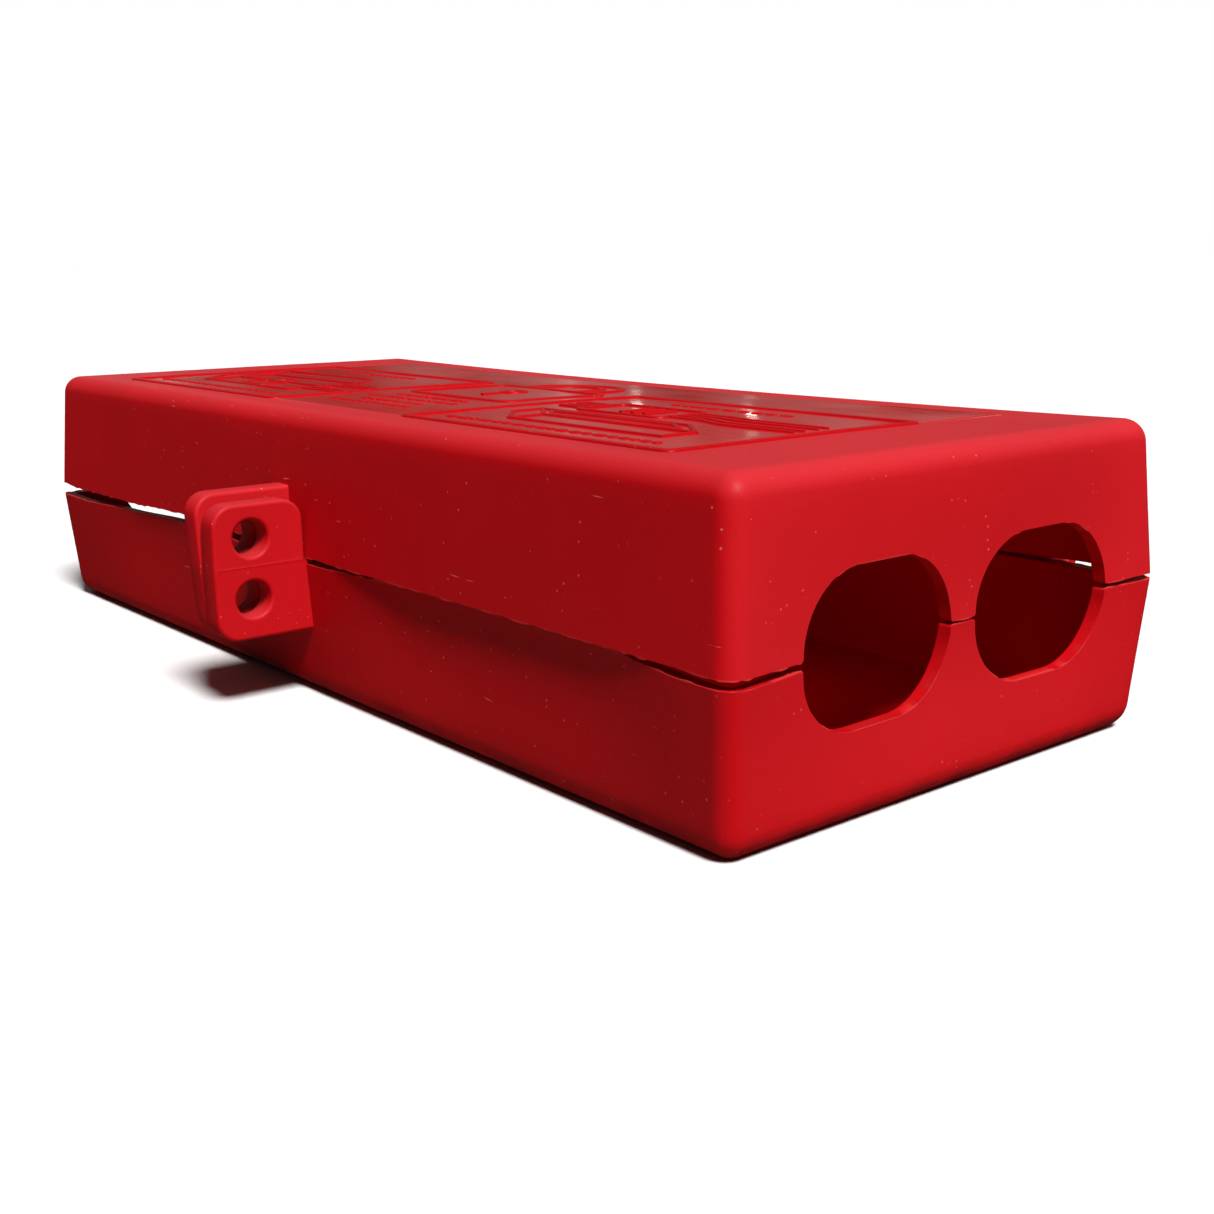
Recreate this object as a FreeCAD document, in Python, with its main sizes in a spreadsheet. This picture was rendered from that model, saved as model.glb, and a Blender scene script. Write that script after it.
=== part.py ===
import FreeCAD, Part
import math
import os
import Sketcher
from FreeCAD import Vector, Placement, Rotation

# Lockout box: two drafted half shells that close over a pair of cable connectors. They are
# hinged along the back (+Y) on two steel pins and locked by a two-hole padlock hasp at the
# front (-Y). Each shell is one moulding with its hasp plate and its hinge knuckles, which
# are nodes of their own here so that each is a simple solid.
# Frame: millimetres, X along the box, Z up, origin at the middle of the base face. Every
# moulded piece is modelled about the middle of the parting plane and lifted into place.

doc = FreeCAD.newDocument("lockout_box")
sheet = doc.addObject("Spreadsheet::Sheet", "sizes")

SIZES = [
    ("box_length", 230.4),        # over the rims, at the parting plane
    ("box_width", 97.8),          # over the rims, at the parting plane
    ("box_height", 52.0),         # base face to lid face, closed
    ("wall", 2.5),
    ("draft_angle", 4.0),         # both shells lean in, away from the parting plane
    ("parting_gap", 0.5),         # between the two rims, closed
    ("corner_radius", 3.4),       # the four upright corners
    ("lid_edge_radius", 3.8),
    ("base_edge_radius", 4.6),
    ("inside_radius", 2.0),       # cavity corners and floor
    ("opening_width", 32.0),      # each cable opening, half of it in each shell
    ("opening_height", 23.4),
    ("opening_spacing", 37.6),    # centre to centre across the box
    ("hasp_reach", 17.6),         # out from the rim
    ("hasp_drop", 13.0),          # both plates, below the parting plane
    ("base_plate_rise", 11.1),    # the base's plate, above the parting plane
    ("lid_plate_rise", 12.5),     # the lid's plate, above the parting plane
    ("hasp_draft", 1.0),
    ("hasp_offset", 1.4),         # where the two plates meet, from mid-length
    ("hasp_corner", 4.0),
    ("plate_thickness", 5.0),     # at the parting plane
    ("plate_gap", 0.3),           # between the two hasp plates
    ("plate_clearance", 0.4),     # a plate's free half to the other shell's rim
    ("padlock_hole", 6.6),        # diameter, for a 6 mm shackle
    ("padlock_reach", 10.35),     # hole axis out from the rim
    ("padlock_spacing", 10.8),
    ("padlock_drop", 0.45),       # middle of the two holes, below the parting plane
    ("pin_diameter", 3.0),
    ("pin_clearance", 0.05),      # radial, in the lid's turning knuckles
    ("pin_recess", 0.5),          # pin end below the knuckle's end face
    ("barrel_radius", 4.0),
    ("barrel_clearance", 0.3),    # barrel to the rim beside it
    ("knuckle_length", 13.2),
    ("knuckle_gap", 0.4),
    ("gusset_drop", 11.0),        # foot of the knuckle's gusset, from the pin axis
    ("hinge_inset", 20.5),        # box end to the first knuckle
    ("art_height", 0.5),          # raised frames on the lid
    ("frame_line", 1.6),
    ("frame_length", 67.6),       # the two outer frames
    ("frame_depth", 52.7),
    ("frame_inset", 23.0),        # rim end to an outer frame
    ("frame_front", 10.3),        # front rim to the outer frames
    ("badge_length", 33.6),       # the middle frame
    ("badge_depth", 24.0),
    ("badge_front", 37.0),        # front rim to the middle frame
]

for row, (name, value) in enumerate(SIZES, start=1):
    sheet.set("A%d" % row, name)
    sheet.set("B%d" % row, "%g" % value)
    sheet.setAlias("B%d" % row, name)
doc.recompute()

LOWER, UPPER = -1, 1      # which way a shell's cup runs from the parting plane
LEFT, RIGHT = -1, 1
RIM = "sizes.parting_gap / 2"
CUP_HEIGHT = "(sizes.box_height - sizes.parting_gap) / 2"
HINGE_Y = "(sizes.box_width / 2 + sizes.barrel_clearance + sizes.barrel_radius)"
GROUP_LENGTH = "(3 * sizes.knuckle_length + 2 * sizes.knuckle_gap)"
GROUP_START = {LEFT: "sizes.hinge_inset - sizes.box_length / 2",
               RIGHT: "sizes.box_length / 2 - sizes.hinge_inset - " + GROUP_LENGTH}


def wall_lean(height):
    """How far the outer wall has leant in at that height from the parting plane."""
    return "(%s - %s) * tan(sizes.draft_angle)" % (height, RIM)


def new_body(label):
    """Body modelled about the parting plane and lifted to its height."""
    body = doc.addObject("PartDesign::Body", label)
    body.Label = label
    body.Placement = Placement(Vector(0, 0, 0), Rotation())
    body.setExpression("Placement.Base.z", "sizes.box_height / 2")
    return body


def finish(body, feature):
    """Make the feature the body's tip and solve it."""
    body.Tip = feature
    doc.recompute()
    return feature


def sketch_on(body, name, role, offset="0"):
    """A sketch on one of the body's origin planes, moved out along it by offset."""
    sketch = body.newObject("Sketcher::SketchObject", body.Label + "_" + name)
    plane = next(item for item in body.Origin.OriginFeatures if item.Role == role)
    sketch.AttachmentSupport = [(plane, "")]
    sketch.MapMode = "FlatFace"
    sketch.setExpression("AttachmentOffset.Base.z", offset)
    return sketch


def bind(sketch, index, name, expression):
    """Name a driving constraint and tie it to the sheet."""
    sketch.renameConstraint(index, name)
    sketch.setExpression("Constraints." + name, expression)


def add_distance(sketch, kind, geometry, end, sign, value=1.0):
    """Distance from the sketch origin to a point on that side; returns its index."""
    if sign > 0:
        return sketch.addConstraint(Sketcher.Constraint(kind, -1, 1, geometry, end, value))
    return sketch.addConstraint(Sketcher.Constraint(kind, geometry, end, -1, 1, value))


def add_rectangle(sketch, name, left, right, bottom, top):
    """Rectangle whose sides each lie at a (sign, expression) from the sketch origin."""
    reach = 20.0
    x0, x1 = left[0] * reach - 1, right[0] * reach + 1
    y0, y1 = bottom[0] * reach - 1, top[0] * reach + 1
    corners = [Vector(x0, y0, 0), Vector(x1, y0, 0), Vector(x1, y1, 0), Vector(x0, y1, 0)]
    first = len(sketch.Geometry)
    for i in range(4):
        sketch.addGeometry(Part.LineSegment(corners[i], corners[(i + 1) % 4]))
    for i in range(4):
        sketch.addConstraint(Sketcher.Constraint(
            "Coincident", first + i, 2, first + (i + 1) % 4, 1))
        sketch.addConstraint(Sketcher.Constraint(
            "Horizontal" if i % 2 == 0 else "Vertical", first + i))
    for side, place, line, kind in (("left", left, first, "DistanceX"),
                                    ("right", right, first + 1, "DistanceX"),
                                    ("bottom", bottom, first, "DistanceY"),
                                    ("top", top, first + 2, "DistanceY")):
        index = add_distance(sketch, kind, line, 1, place[0])
        bind(sketch, index, name + "_" + side, place[1])


def add_obround(sketch, name, sign):
    """Cable opening's outline: a round-ended slot across the box, on the parting plane."""
    radius = sheet.opening_height / 2
    half = sheet.opening_width / 2 - radius
    middle = sign * sheet.opening_spacing / 2
    quarter = math.pi / 2
    right_arc = sketch.addGeometry(Part.ArcOfCircle(
        Part.Circle(Vector(middle + half, 0, 0), Vector(0, 0, 1), radius), -quarter, quarter))
    left_arc = sketch.addGeometry(Part.ArcOfCircle(
        Part.Circle(Vector(middle - half, 0, 0), Vector(0, 0, 1), radius),
        quarter, 3 * quarter))
    top = sketch.addGeometry(Part.LineSegment(
        Vector(middle + half, radius, 0), Vector(middle - half, radius, 0)))
    bottom = sketch.addGeometry(Part.LineSegment(
        Vector(middle - half, -radius, 0), Vector(middle + half, -radius, 0)))
    for one, one_end, two, two_end in (
            (right_arc, 2, top, 1), (top, 2, left_arc, 1),
            (left_arc, 2, bottom, 1), (bottom, 2, right_arc, 1)):
        sketch.addConstraint(Sketcher.Constraint("Tangent", one, one_end, two, two_end))
    sketch.addConstraint(Sketcher.Constraint("Horizontal", top))
    sketch.addConstraint(Sketcher.Constraint("PointOnObject", right_arc, 3, -1))
    sketch.addConstraint(Sketcher.Constraint("PointOnObject", left_arc, 3, -1))
    index = sketch.addConstraint(Sketcher.Constraint("Radius", right_arc, radius))
    bind(sketch, index, name + "_radius", "sizes.opening_height / 2")
    inner_arc, outer_arc = (left_arc, right_arc) if sign > 0 else (right_arc, left_arc)
    centre = "sizes.opening_spacing / 2"
    reach = "(sizes.opening_width - sizes.opening_height) / 2"
    index = add_distance(sketch, "DistanceX", inner_arc, 3, sign, middle * sign - half)
    bind(sketch, index, name + "_inner", centre + " - " + reach)
    index = add_distance(sketch, "DistanceX", outer_arc, 3, sign, middle * sign + half)
    bind(sketch, index, name + "_outer", centre + " + " + reach)


def add_circle(sketch, name, x, y, diameter):
    """Circle whose centre lies at (sign, expression) distances from the sketch origin."""
    centre = Vector(x[0] * 5, y[0] * 5, 0)
    circle = sketch.addGeometry(Part.Circle(centre, Vector(0, 0, 1), 2.0))
    bind(sketch, add_distance(sketch, "DistanceX", circle, 3, x[0]), name + "_x", x[1])
    bind(sketch, add_distance(sketch, "DistanceY", circle, 3, y[0]), name + "_y", y[1])
    index = sketch.addConstraint(Sketcher.Constraint("Diameter", circle, 4.0))
    bind(sketch, index, name + "_size", diameter)


def pad(body, name, sketch, length):
    """Pad out of the sketch's face to a length."""
    feature = body.newObject("PartDesign::Pad", body.Label + "_" + name)
    feature.Profile = sketch
    feature.setExpression("Length", length)
    return finish(body, feature)


def cut_through(body, name, sketch):
    """Pocket that runs right through the body both ways from its sketch."""
    feature = body.newObject("PartDesign::Pocket", body.Label + "_" + name)
    feature.Profile = sketch
    feature.Type = "ThroughAll"
    feature.Midplane = True
    return finish(body, feature)


def drafted_block(body, kind, name, side, start, depth, x_range, y_range, x_lean, y_leans):
    """Block that runs from the start height away from the parting plane, on that side of
    it. Each range is a low and a high expression at the start; by the far end both X
    faces have leant in by x_lean, and the low and high Y faces by the two y_leans."""
    feature = body.newObject("PartDesign::%sWedge" % kind, body.Label + "_" + name)
    feature.Placement = Placement(Vector(0, 0, 0), Rotation(Vector(1, 0, 0), 90 * side))
    (low, high), (low_lean, high_lean) = y_range, y_leans
    if side == UPPER:     # the wedge's own Z then points along -Y
        low, high, low_lean, high_lean = "-(%s)" % high, "-(%s)" % low, high_lean, low_lean
    for size, expression in (("Ymin", start), ("Ymax", "%s + %s" % (start, depth)),
                             ("Xmin", x_range[0]), ("Xmax", x_range[1]),
                             ("X2min", "%s + %s" % (x_range[0], x_lean)),
                             ("X2max", "%s - %s" % (x_range[1], x_lean)),
                             ("Zmin", low), ("Zmax", high),
                             ("Z2min", "%s + %s" % (low, low_lean)),
                             ("Z2max", "%s - %s" % (high, high_lean))):
        feature.setExpression(size, expression)
    return finish(body, feature)


def fillet(body, name, wanted, radius):
    """Fillet the tip's edges that the test picks out."""
    base = body.Tip
    names = ["Edge%d" % (i + 1) for i, edge in enumerate(base.Shape.Edges) if wanted(edge)]
    feature = body.newObject("PartDesign::Fillet", body.Label + "_" + name)
    feature.Base = (base, names)
    feature.setExpression("Radius", radius)
    return finish(body, feature)


def lies_at_height(edge, height):
    """True for an edge whose ends both lie that far from the parting plane."""
    return all(abs(abs(vertex.Z) - height) < 0.01 for vertex in edge.Vertexes)


def make_shell(label, side):
    """Half of the box: a drafted cup with rounded corners, hollowed to the wall, and
    notched at both ends for its half of each cable opening."""
    body = new_body(label)
    lean = wall_lean("sizes.box_height / 2")
    drafted_block(body, "Additive", "block", side, RIM, CUP_HEIGHT,
                  ("-sizes.box_length / 2", "sizes.box_length / 2"),
                  ("-sizes.box_width / 2", "sizes.box_width / 2"), lean, (lean, lean))
    fillet(body, "corners", lambda edge: edge.BoundBox.ZLength > sheet.box_height / 4,
           "sizes.corner_radius")
    fillet(body, "outer_edge", lambda edge: lies_at_height(edge, sheet.box_height / 2),
           "sizes.lid_edge_radius" if side == UPPER else "sizes.base_edge_radius")

    inner_x = "(sizes.box_length / 2 - sizes.wall)"
    inner_y = "(sizes.box_width / 2 - sizes.wall)"
    inner_lean = wall_lean("(sizes.box_height / 2 - sizes.wall)")
    drafted_block(body, "Subtractive", "hollow", side, RIM, CUP_HEIGHT + " - sizes.wall",
                  ("-" + inner_x, inner_x), ("-" + inner_y, inner_y), inner_lean,
                  (inner_lean, inner_lean))

    def inside_edge(edge):
        """True for the cavity's edges, apart from those around the rim."""
        reach = [max(abs(vertex.Point[axis]) for vertex in edge.Vertexes) for axis in range(3)]
        spare = sheet.wall - 0.05
        return (reach[0] < sheet.box_length / 2 - spare
                and reach[1] < sheet.box_width / 2 - spare
                and sheet.parting_gap < reach[2] < sheet.box_height / 2 - spare)

    fillet(body, "inner_edges", inside_edge, "sizes.inside_radius")
    openings = sketch_on(body, "openings", "YZ_Plane")
    add_obround(openings, "front", -1)
    add_obround(openings, "rear", 1)
    cut_through(body, "cable_openings", openings)
    return body


def add_lid_frames(body):
    """Raised picture frames on the lid: one at each end and a smaller one between."""
    face = sketch_on(body, "frames", "XY_Plane", "sizes.box_height / 2")
    far = "sizes.box_length / 2 - sizes.frame_inset"
    near = far + " - sizes.frame_length"
    half_badge = "sizes.badge_length / 2"
    for name, inward in (("outside", "0"), ("inside", "sizes.frame_line")):
        less, more = " - " + inward, " + " + inward
        front = (-1, "sizes.box_width / 2 - sizes.frame_front" + less)
        back = (1, "sizes.frame_depth + sizes.frame_front - sizes.box_width / 2" + less)
        add_rectangle(face, "right_" + name, (1, near + more), (1, far + less), front, back)
        add_rectangle(face, "left_" + name, (-1, far + less), (-1, near + more), front, back)
        front = (-1, "sizes.box_width / 2 - sizes.badge_front" + less)
        back = (1, "sizes.badge_depth + sizes.badge_front - sizes.box_width / 2" + less)
        add_rectangle(face, "badge_" + name, (-1, half_badge + less), (1, half_badge + less),
                      front, back)
    pad(body, "frame_lines", face, "sizes.art_height")


def make_hasp_plate(label, side):
    """Padlock plate beside the other shell's. One half grows out of this shell's wall, and
    the other stands free in front of the other shell; both lean in from the parting plane."""
    body = new_body(label)
    start = "sizes.hasp_offset + sizes.plate_gap / 2"
    if side == UPPER:
        start = "sizes.hasp_offset - sizes.plate_gap / 2 - sizes.plate_thickness"
    x_range = (start, start + " + sizes.plate_thickness")
    rise = "base_plate_rise" if side == LOWER else "lid_plate_rise"
    tip = "-(sizes.box_width / 2 + sizes.hasp_reach)"
    at_wall = "-(sizes.box_width / 2) + " + wall_lean("0")
    in_front = "-(sizes.box_width / 2 + sizes.plate_clearance)"
    for way, height in ((LOWER, "sizes.hasp_drop"), (UPPER, "sizes." + rise)):
        lean = height + " * tan(sizes.hasp_draft)"
        if way == side:
            wall_rise = height + " * tan(sizes.draft_angle)"
            drafted_block(body, "Additive", "rooted_half", way, "0", height, x_range,
                          (tip, at_wall), lean, (lean, "-" + wall_rise))
        else:
            drafted_block(body, "Additive", "free_half", way, "0", height, x_range,
                          (tip, in_front), lean, (lean, lean))
    middle = sheet.box_width / 2 + sheet.hasp_reach / 2
    fillet(body, "plate_corners",
           lambda edge: (lies_at_height(edge, sheet.hasp_drop)
                         or lies_at_height(edge, sheet.get(rise)))
           and all(vertex.Y < -middle for vertex in edge.Vertexes),
           "sizes.hasp_corner")
    holes = sketch_on(body, "holes", "YZ_Plane")
    for name, sign, shift in (("low", -1, "+"), ("high", 1, "-")):
        add_circle(holes, name, (-1, "sizes.box_width / 2 + sizes.padlock_reach"),
                   (sign, "sizes.padlock_spacing / 2 %s sizes.padlock_drop" % shift),
                   "sizes.padlock_hole")
    cut_through(body, "padlock_holes", holes)
    return body


def make_knuckle(label, side, group, place):
    """Hinge knuckle, the place-th of a group of three: a barrel on a gusset that runs back
    to the wall. The base's two grip the pin, and the lid's turns on it between them."""
    body = new_body(label)
    start = "%s + %d * (sizes.knuckle_length + sizes.knuckle_gap)" % (GROUP_START[group], place)
    profile = sketch_on(body, "profile", "YZ_Plane", start)
    add_knuckle_outline(profile, side)
    pad(body, "barrel", profile, "sizes.knuckle_length")
    bore = "sizes.pin_diameter"
    if side == UPPER:
        bore += " + 2 * sizes.pin_clearance"
    circle = sketch_on(body, "pin_circle", "YZ_Plane")
    add_circle(circle, "pin", (1, HINGE_Y), (1, "0"), bore)
    cut_through(body, "pin_bore", circle)
    return body


def add_knuckle_outline(sketch, side):
    """Three quarters of the barrel's circle, a gusset down to the wall, up the wall's own
    slope to rim height, and back to the barrel."""
    radius, rim = sheet.barrel_radius, sheet.parting_gap / 2
    slope = math.tan(math.radians(sheet.draft_angle))
    half_width = sheet.box_width / 2
    centre = Vector(half_width + sheet.barrel_clearance + radius, 0, 0)
    barrel_foot = Vector(centre.x, side * radius, 0)
    barrel_back = Vector(centre.x - math.sqrt(radius ** 2 - rim ** 2), side * rim, 0)
    gusset_y = half_width - (sheet.gusset_drop - rim) * slope
    gusset_foot = Vector(gusset_y, side * sheet.gusset_drop, 0)
    shelf = Vector(half_width, side * rim, 0)
    circle = Part.Circle(centre, Vector(0, 0, 1), radius)
    quarter, tilt = math.pi / 2, math.asin(rim / radius)
    if side == LOWER:
        arc, foot_end, back_end = Part.ArcOfCircle(circle, -quarter, 2 * quarter + tilt), 1, 2
    else:
        arc, foot_end, back_end = Part.ArcOfCircle(circle, -2 * quarter - tilt, quarter), 2, 1
    for edge in (arc, Part.LineSegment(barrel_foot, gusset_foot),
                 Part.LineSegment(gusset_foot, shelf), Part.LineSegment(shelf, barrel_back)):
        sketch.addGeometry(edge)
    for one, one_end, two, two_end in ((0, foot_end, 1, 1), (1, 2, 2, 1), (2, 2, 3, 1),
                                       (3, 2, 0, back_end)):
        sketch.addConstraint(Sketcher.Constraint("Coincident", one, one_end, two, two_end))
    sketch.addConstraint(Sketcher.Constraint("Horizontal", 3))
    sketch.addConstraint(Sketcher.Constraint("PointOnObject", 0, 3, -1))
    sketch.addConstraint(Sketcher.Constraint("Vertical", 0, 3, 0, foot_end))
    for kind, geometry, end, sign, value, name, expression in (
            ("DistanceX", 0, 3, 1, centre.x, "axis_y", HINGE_Y),
            ("DistanceX", 2, 1, 1, gusset_y, "gusset_y",
             "sizes.box_width / 2 - " + wall_lean("sizes.gusset_drop")),
            ("DistanceY", 2, 1, side, sheet.gusset_drop, "gusset_z", "sizes.gusset_drop"),
            ("DistanceX", 2, 2, 1, half_width, "shelf_y", "sizes.box_width / 2"),
            ("DistanceY", 2, 2, side, rim, "shelf_z", RIM)):
        bind(sketch, add_distance(sketch, kind, geometry, end, sign, value), name, expression)
    index = sketch.addConstraint(Sketcher.Constraint("Radius", 0, radius))
    bind(sketch, index, "barrel", "sizes.barrel_radius")


def make_pin(label, group):
    """Straight steel hinge pin through one group of knuckles."""
    pin = doc.addObject("Part::Cylinder", label)
    pin.Label = label
    pin.Placement = Placement(Vector(0, 0, 0), Rotation(Vector(0, 1, 0), 90))
    pin.setExpression("Radius", "sizes.pin_diameter / 2")
    pin.setExpression("Height", GROUP_LENGTH + " - 2 * sizes.pin_recess")
    pin.setExpression("Placement.Base.x", GROUP_START[group] + " + sizes.pin_recess")
    pin.setExpression("Placement.Base.y", HINGE_Y)
    pin.setExpression("Placement.Base.z", "sizes.box_height / 2")
    return pin


def make_parts():
    """Every piece of the box, each under its own label."""
    lid = make_shell("upper_shell", UPPER)
    add_lid_frames(lid)
    parts = [make_shell("lower_shell", LOWER), lid,
             make_hasp_plate("lower_hasp_plate", LOWER),
             make_hasp_plate("upper_hasp_plate", UPPER)]
    for word, group in (("left", LEFT), ("right", RIGHT)):
        parts.append(make_knuckle("lower_knuckle_%s_1" % word, LOWER, group, 0))
        parts.append(make_knuckle("upper_knuckle_%s" % word, UPPER, group, 1))
        parts.append(make_knuckle("lower_knuckle_%s_2" % word, LOWER, group, 2))
        parts.append(make_pin("hinge_pin_%s" % word, group))
    return parts


parts = make_parts()
doc.recompute()
for item in doc.Objects:
    if "Invalid" in item.State or "Error" in item.State:
        raise RuntimeError("%s did not solve: %s" % (item.Name, item.State))
for part in parts:
    if part.Shape.isNull() or not part.Shape.isValid() or len(part.Shape.Solids) != 1:
        raise RuntimeError("%s is not one valid solid" % part.Label)

os.makedirs("parts", exist_ok=True)
for part in parts:
    part.Shape.exportStep("parts/%s.step" % part.Label)
    box = part.Shape.BoundBox
    print("%-22s volume %9.1f  x %8.2f %8.2f  y %7.2f %7.2f  z %6.2f %6.2f" % (
        part.Label, part.Shape.Volume, box.XMin, box.XMax, box.YMin, box.YMax,
        box.ZMin, box.ZMax))
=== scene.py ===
import math

import bmesh
import bpy
import numpy as np
from mathutils import Matrix, Vector


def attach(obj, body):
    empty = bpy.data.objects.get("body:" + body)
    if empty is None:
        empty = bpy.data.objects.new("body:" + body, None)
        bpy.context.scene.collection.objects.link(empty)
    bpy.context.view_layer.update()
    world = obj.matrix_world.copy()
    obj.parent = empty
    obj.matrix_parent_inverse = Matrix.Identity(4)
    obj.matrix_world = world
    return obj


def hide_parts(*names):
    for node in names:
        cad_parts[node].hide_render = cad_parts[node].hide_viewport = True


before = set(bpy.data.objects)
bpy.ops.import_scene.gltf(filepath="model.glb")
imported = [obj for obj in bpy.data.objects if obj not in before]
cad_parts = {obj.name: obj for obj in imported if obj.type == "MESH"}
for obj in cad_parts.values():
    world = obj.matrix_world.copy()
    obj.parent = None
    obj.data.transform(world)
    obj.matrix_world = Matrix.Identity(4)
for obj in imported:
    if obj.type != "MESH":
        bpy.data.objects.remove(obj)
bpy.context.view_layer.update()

# ---------------------------------------------------------------------------------------
# Base moulding's cup. Injection-moulded polypropylene, 2.5 mm wall, drafted so that it
# leaves the mould, with half of each cable opening in both of its ends. It has cooled a
# little out of true: its end walls and its front wall have drawn inward along the rim.
# ---------------------------------------------------------------------------------------
MM = 0.001
PER_METRE = 1000.0                   # a pattern's cells per metre, at a pitch of 1 mm
LOWER, UPPER = -1, 1
HALF_LENGTH, HALF_WIDTH, HALF_HEIGHT = 115.2, 48.9, 26.0
PARTING_Z = 26.0
RIM_GAP = 0.25                       # each rim stands this far from the parting plane
WALL = 2.5
DRAFT = math.tan(math.radians(4.0))
CORNER_RADIUS = 3.4
BASE_EDGE_RADIUS = 4.6
INSIDE_RADIUS = 2.0
RIM_ROUND = 0.35
END_BOW, END_BOW_REACH = 1.9, 47.0   # inward bow of an end wall, and its half width
LID_SAG, SAG_REACH = 0.9, 115.0
FLASH_WIDTH, FLASH_HEIGHT, FLASH_WAVES = 0.16, 0.24, 26
OPENING_CENTRE, OPENING_RADIUS, OPENING_FLAT = 18.8, 11.7, 4.3
NOTCH_ROUND = 0.5
COLUMN_PITCH = 1.0
MERGE_WITHIN, COLLAPSE_WITHIN, SHARP_ANGLE = 0.002, 0.0005, 40.0


def smoothstep(value):
    """Rises from 0 to 1 between 0 and 1, level at both ends: v squared times (3 - 2 v)."""
    v = np.clip(value, 0.0, 1.0)
    return v * v * (3.0 - 2.0 * v)


def through_stations(x, stations):
    """Smooth curve through (x, value) stations: a level smoothstep between neighbours."""
    result = np.full(np.shape(x), stations[0][1], dtype=float)
    for (x0, v0), (x1, v1) in zip(stations, stations[1:]):
        result += (v1 - v0) * smoothstep((x - x0) / (x1 - x0))
    return result


def warp(points, side):
    """How moulding has drawn a shell out of true, in mm. The end walls bow inward as a
    parabola across the box, the base's front wall bows in, most over its right half, the
    rims rise and fall along the front and at the lid's rear right, and the lid's top sags
    to the rear.
    All but the sag fade from the rim to nothing at the flat face, by a smoothstep."""
    p = points.copy()
    x, y, z = points[..., 0], points[..., 1], points[..., 2]
    fade = 1.0 - smoothstep(np.abs(z - PARTING_Z) / HALF_HEIGHT)
    end = smoothstep((np.abs(x) - 97.0) / 12.0)
    bow = END_BOW * np.clip(1.0 - (y / END_BOW_REACH) ** 2, 0.0, 1.0)
    p[..., 0] -= np.sign(x) * bow * fade * end
    front = smoothstep((-y - 19.0) / 26.0)
    if side == LOWER:
        hollow = through_stations(x, [(9, 0.0), (41, 1.9), (81, 1.7), (107, 0.0)])
        hollow = hollow + through_stations(x, [(-100, 0.0), (-60, 0.9), (-11, 0.0)])
        p[..., 1] += hollow * fade * smoothstep((-y - 31.0) / 14.0)
        rise = through_stations(x, [(-112, -1.5), (-100, -1.6), (-77, -1.1), (-46, -0.15),
                                    (5, -0.75), (31, -0.45), (89, -0.3), (109, -1.1)])
    else:
        rise = through_stations(x, [(-114, 0.9), (-104, 0.45), (-77, 0.6), (-46, 1.4), (9, 0.0),
                                    (17, -0.15)])
        lift = through_stations(x, [(80, 0.0), (104, 0.5)])
        p[..., 2] += lift * smoothstep((y - 20.0) / 26.0) * fade
        sag = LID_SAG * np.clip(1.0 - (x / SAG_REACH) ** 2, 0.0, 1.0)
        p[..., 2] -= sag * smoothstep((y + 6.0) / 50.0) * (1.0 - fade)
    p[..., 2] += rise * front * fade
    return p


def end_outline():
    """An end wall's rim from front to rear: plain rim, notch, web, notch, plain rim. Rows
    are y, depth below the parting plane, and the direction into the material (y, depth).
    A notch is half an obround, centre + radius times (sin, cos), eased into the rim by a
    small round."""
    def plain(start, stop):
        count = max(3, int(abs(stop - start) / COLUMN_PITCH) + 1)
        y = np.linspace(start, stop, count)
        return np.stack([y, np.full(count, RIM_GAP), np.zeros(count), np.ones(count)], axis=1)

    def notch(centre):
        reach = OPENING_RADIUS + NOTCH_ROUND
        meet = math.acos((RIM_GAP + NOTCH_ROUND) / reach)
        ease = np.linspace(0.0, meet, 6)
        turn = np.linspace(meet, 0.0, 24)[1:]
        y = np.concatenate([OPENING_FLAT + reach * math.sin(meet) - NOTCH_ROUND * np.sin(ease),
                            OPENING_FLAT + OPENING_RADIUS * np.sin(turn)])
        depth = np.concatenate([RIM_GAP + NOTCH_ROUND * (1.0 - np.cos(ease)),
                                OPENING_RADIUS * np.cos(turn)])
        angle = np.concatenate([ease, turn])
        half = np.stack([y, depth, np.sin(angle), np.cos(angle)], axis=1)
        whole = np.concatenate([half * [-1.0, 1.0, -1.0, 1.0], half[::-1]])
        whole[:, 0] += centre
        return whole

    straight = HALF_WIDTH - CORNER_RADIUS
    first, second = notch(-OPENING_CENTRE), notch(OPENING_CENTRE)
    return np.concatenate([plain(-straight, first[0, 0])[:-1], first,
                           plain(first[-1, 0], second[0, 0])[1:-1], second,
                           plain(second[-1, 0], straight)[1:]])


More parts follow.
